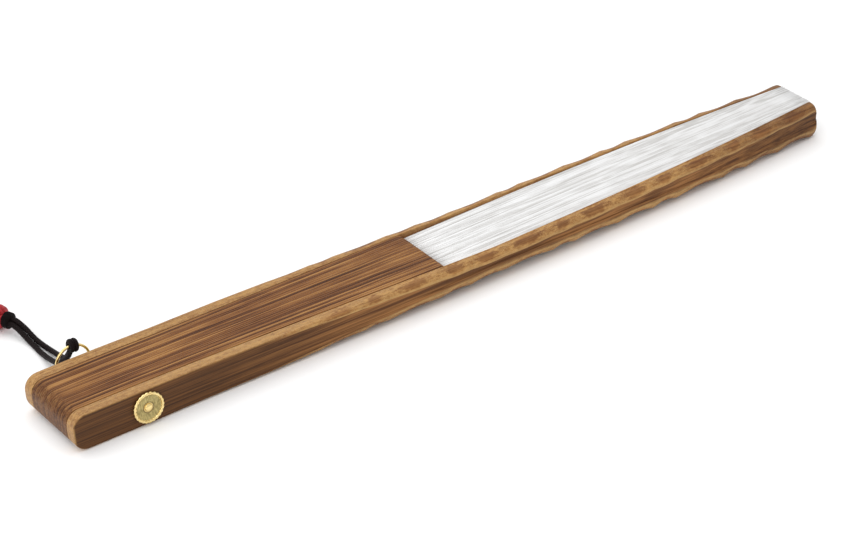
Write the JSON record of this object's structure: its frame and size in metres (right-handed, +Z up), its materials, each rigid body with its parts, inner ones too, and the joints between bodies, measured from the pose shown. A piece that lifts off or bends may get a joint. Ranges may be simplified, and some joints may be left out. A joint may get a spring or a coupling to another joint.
{
  "type": "folding fan",
  "caption": "Closed folding fan with bamboo ribs, carved guards and a pleated paper leaf on one rivet, with a wire ring that carries a cord pendant.",
  "frame": {"origin": "middle of the closed fan's footprint on the surface it lies on, without the cord and its pendant", "axes": "+X from the head to the tip, Y along the rivet with the front guard on the -Y side, +Z up, across the sticks"},
  "size_m": [0.316, 0.1358, 0.0169],
  "materials": {
    "guard_bamboo": "polished bamboo, dark channel between lighter knotted rails",
    "rib_bamboo": "planed bamboo, straight grain",
    "leaf_paper": "matt mulberry paper",
    "brass": "polished, slightly tarnished",
    "black_cord": "braided round cord",
    "red_silk": "braided and combed silk thread"
  },
  "bodies": {
    "front_guard": {"front_guard": "guard_bamboo", "leaf_front_end": "leaf_paper", "rivet_pin": "brass", "rivet_washers": "brass"},
    "back_guard": {"back_guard": "guard_bamboo", "leaf_back_end": "leaf_paper"},
    "ring": {"ring": "brass", "cord_hitch": "black_cord", "cord_strands": "black_cord", "cord_binding": "black_cord", "pendant_knot": "red_silk", "tassel": "red_silk"},
    "rib_01": {"rib_01": "rib_bamboo", "leaf_01": "leaf_paper"},
    "rib_02": {"rib_02": "rib_bamboo", "leaf_02": "leaf_paper"},
    "rib_03": {"rib_03": "rib_bamboo", "leaf_03": "leaf_paper"},
    "rib_04": {"rib_04": "rib_bamboo", "leaf_04": "leaf_paper"},
    "rib_05": {"rib_05": "rib_bamboo", "leaf_05": "leaf_paper"},
    "rib_06": {"rib_06": "rib_bamboo", "leaf_06": "leaf_paper"},
    "rib_07": {"rib_07": "rib_bamboo", "leaf_07": "leaf_paper"},
    "rib_08": {"rib_08": "rib_bamboo", "leaf_08": "leaf_paper"},
    "rib_09": {"rib_09": "rib_bamboo", "leaf_09": "leaf_paper"},
    "rib_10": {"rib_10": "rib_bamboo", "leaf_10": "leaf_paper"},
    "rib_11": {"rib_11": "rib_bamboo", "leaf_11": "leaf_paper"},
    "rib_12": {"rib_12": "rib_bamboo", "leaf_12": "leaf_paper"},
    "rib_13": {"rib_13": "rib_bamboo", "leaf_13": "leaf_paper"},
    "rib_14": {"rib_14": "rib_bamboo", "leaf_14": "leaf_paper"},
    "rib_15": {"rib_15": "rib_bamboo", "leaf_15": "leaf_paper"},
    "rib_16": {"rib_16": "rib_bamboo", "leaf_16": "leaf_paper"},
    "rib_17": {"rib_17": "rib_bamboo", "leaf_17": "leaf_paper"},
    "rib_18": {"rib_18": "rib_bamboo", "leaf_18": "leaf_paper"},
    "rib_19": {"rib_19": "rib_bamboo", "leaf_19": "leaf_paper"},
    "rib_20": {"rib_20": "rib_bamboo", "leaf_20": "leaf_paper"},
    "rib_21": {"rib_21": "rib_bamboo", "leaf_21": "leaf_paper"},
    "rib_22": {"rib_22": "rib_bamboo", "leaf_22": "leaf_paper"},
    "rib_23": {"rib_23": "rib_bamboo", "leaf_23": "leaf_paper"},
    "rib_24": {"rib_24": "rib_bamboo", "leaf_24": "leaf_paper"}
  },
  "joints": [
    {"name": "fan_open", "type": "hinge", "parent": "front_guard", "child": "back_guard", "pos_m": [-0.128, -0.0028, 0.0066], "axis": [0, -1, 0], "range_deg": [0, 132.5]},
    {"name": "rib_01_turn", "type": "hinge", "parent": "front_guard", "child": "rib_01", "pos_m": [-0.128, -0.0028, 0.0066], "axis": [0, -1, 0], "range_deg": [0, 5.31]},
    {"name": "rib_02_turn", "type": "hinge", "parent": "front_guard", "child": "rib_02", "pos_m": [-0.128, -0.0028, 0.0066], "axis": [0, -1, 0], "range_deg": [0, 10.61]},
    {"name": "rib_03_turn", "type": "hinge", "parent": "front_guard", "child": "rib_03", "pos_m": [-0.128, -0.0028, 0.0066], "axis": [0, -1, 0], "range_deg": [0, 15.91]},
    {"name": "rib_04_turn", "type": "hinge", "parent": "front_guard", "child": "rib_04", "pos_m": [-0.128, -0.0028, 0.0066], "axis": [0, -1, 0], "range_deg": [0, 21.21]},
    {"name": "rib_05_turn", "type": "hinge", "parent": "front_guard", "child": "rib_05", "pos_m": [-0.128, -0.0028, 0.0066], "axis": [0, -1, 0], "range_deg": [0, 26.51]},
    {"name": "rib_06_turn", "type": "hinge", "parent": "front_guard", "child": "rib_06", "pos_m": [-0.128, -0.0028, 0.0066], "axis": [0, -1, 0], "range_deg": [0, 31.81]},
    {"name": "rib_07_turn", "type": "hinge", "parent": "front_guard", "child": "rib_07", "pos_m": [-0.128, -0.0028, 0.0066], "axis": [0, -1, 0], "range_deg": [0, 37.11]},
    {"name": "rib_08_turn", "type": "hinge", "parent": "front_guard", "child": "rib_08", "pos_m": [-0.128, -0.0028, 0.0066], "axis": [0, -1, 0], "range_deg": [0, 42.41]},
    {"name": "rib_09_turn", "type": "hinge", "parent": "front_guard", "child": "rib_09", "pos_m": [-0.128, -0.0028, 0.0066], "axis": [0, -1, 0], "range_deg": [0, 47.71]},
    {"name": "rib_10_turn", "type": "hinge", "parent": "front_guard", "child": "rib_10", "pos_m": [-0.128, -0.0028, 0.0066], "axis": [0, -1, 0], "range_deg": [0, 53.01]},
    {"name": "rib_11_turn", "type": "hinge", "parent": "front_guard", "child": "rib_11", "pos_m": [-0.128, -0.0028, 0.0066], "axis": [0, -1, 0], "range_deg": [0, 58.31]},
    {"name": "rib_12_turn", "type": "hinge", "parent": "front_guard", "child": "rib_12", "pos_m": [-0.128, -0.0028, 0.0066], "axis": [0, -1, 0], "range_deg": [0, 63.61]},
    {"name": "rib_13_turn", "type": "hinge", "parent": "front_guard", "child": "rib_13", "pos_m": [-0.128, -0.0028, 0.0066], "axis": [0, -1, 0], "range_deg": [0, 68.91]},
    {"name": "rib_14_turn", "type": "hinge", "parent": "front_guard", "child": "rib_14", "pos_m": [-0.128, -0.0028, 0.0066], "axis": [0, -1, 0], "range_deg": [0, 74.21]},
    {"name": "rib_15_turn", "type": "hinge", "parent": "front_guard", "child": "rib_15", "pos_m": [-0.128, -0.0028, 0.0066], "axis": [0, -1, 0], "range_deg": [0, 79.51]},
    {"name": "rib_16_turn", "type": "hinge", "parent": "front_guard", "child": "rib_16", "pos_m": [-0.128, -0.0028, 0.0066], "axis": [0, -1, 0], "range_deg": [0, 84.81]},
    {"name": "rib_17_turn", "type": "hinge", "parent": "front_guard", "child": "rib_17", "pos_m": [-0.128, -0.0028, 0.0066], "axis": [0, -1, 0], "range_deg": [0, 90.11]},
    {"name": "rib_18_turn", "type": "hinge", "parent": "front_guard", "child": "rib_18", "pos_m": [-0.128, -0.0028, 0.0066], "axis": [0, -1, 0], "range_deg": [0, 95.41]},
    {"name": "rib_19_turn", "type": "hinge", "parent": "front_guard", "child": "rib_19", "pos_m": [-0.128, -0.0028, 0.0066], "axis": [0, -1, 0], "range_deg": [0, 100.71]},
    {"name": "rib_20_turn", "type": "hinge", "parent": "front_guard", "child": "rib_20", "pos_m": [-0.128, -0.0028, 0.0066], "axis": [0, -1, 0], "range_deg": [0, 106.01]},
    {"name": "rib_21_turn", "type": "hinge", "parent": "front_guard", "child": "rib_21", "pos_m": [-0.128, -0.0028, 0.0066], "axis": [0, -1, 0], "range_deg": [0, 111.31]},
    {"name": "rib_22_turn", "type": "hinge", "parent": "front_guard", "child": "rib_22", "pos_m": [-0.128, -0.0028, 0.0066], "axis": [0, -1, 0], "range_deg": [0, 116.61]},
    {"name": "rib_23_turn", "type": "hinge", "parent": "front_guard", "child": "rib_23", "pos_m": [-0.128, -0.0028, 0.0066], "axis": [0, -1, 0], "range_deg": [0, 121.91]},
    {"name": "rib_24_turn", "type": "hinge", "parent": "front_guard", "child": "rib_24", "pos_m": [-0.128, -0.0028, 0.0066], "axis": [0, -1, 0], "range_deg": [0, 127.21]},
    {"name": "ring_swing", "type": "hinge", "parent": "front_guard", "child": "ring", "pos_m": [-0.128, 0.01795, 0.0066], "axis": [0, 0, -1], "range_deg": [-8, 60]}
  ],
  "couplings": [
    {"joint": "rib_01_turn", "follows": "fan_open", "ratio": 0.04},
    {"joint": "rib_02_turn", "follows": "fan_open", "ratio": 0.08},
    {"joint": "rib_03_turn", "follows": "fan_open", "ratio": 0.12},
    {"joint": "rib_04_turn", "follows": "fan_open", "ratio": 0.16},
    {"joint": "rib_05_turn", "follows": "fan_open", "ratio": 0.2},
    {"joint": "rib_06_turn", "follows": "fan_open", "ratio": 0.24},
    {"joint": "rib_07_turn", "follows": "fan_open", "ratio": 0.28},
    {"joint": "rib_08_turn", "follows": "fan_open", "ratio": 0.32},
    {"joint": "rib_09_turn", "follows": "fan_open", "ratio": 0.36},
    {"joint": "rib_10_turn", "follows": "fan_open", "ratio": 0.4},
    {"joint": "rib_11_turn", "follows": "fan_open", "ratio": 0.44},
    {"joint": "rib_12_turn", "follows": "fan_open", "ratio": 0.48},
    {"joint": "rib_13_turn", "follows": "fan_open", "ratio": 0.52},
    {"joint": "rib_14_turn", "follows": "fan_open", "ratio": 0.56},
    {"joint": "rib_15_turn", "follows": "fan_open", "ratio": 0.6},
    {"joint": "rib_16_turn", "follows": "fan_open", "ratio": 0.64},
    {"joint": "rib_17_turn", "follows": "fan_open", "ratio": 0.68},
    {"joint": "rib_18_turn", "follows": "fan_open", "ratio": 0.72},
    {"joint": "rib_19_turn", "follows": "fan_open", "ratio": 0.76},
    {"joint": "rib_20_turn", "follows": "fan_open", "ratio": 0.8},
    {"joint": "rib_21_turn", "follows": "fan_open", "ratio": 0.84},
    {"joint": "rib_22_turn", "follows": "fan_open", "ratio": 0.88},
    {"joint": "rib_23_turn", "follows": "fan_open", "ratio": 0.92},
    {"joint": "rib_24_turn", "follows": "fan_open", "ratio": 0.96}
  ]
}
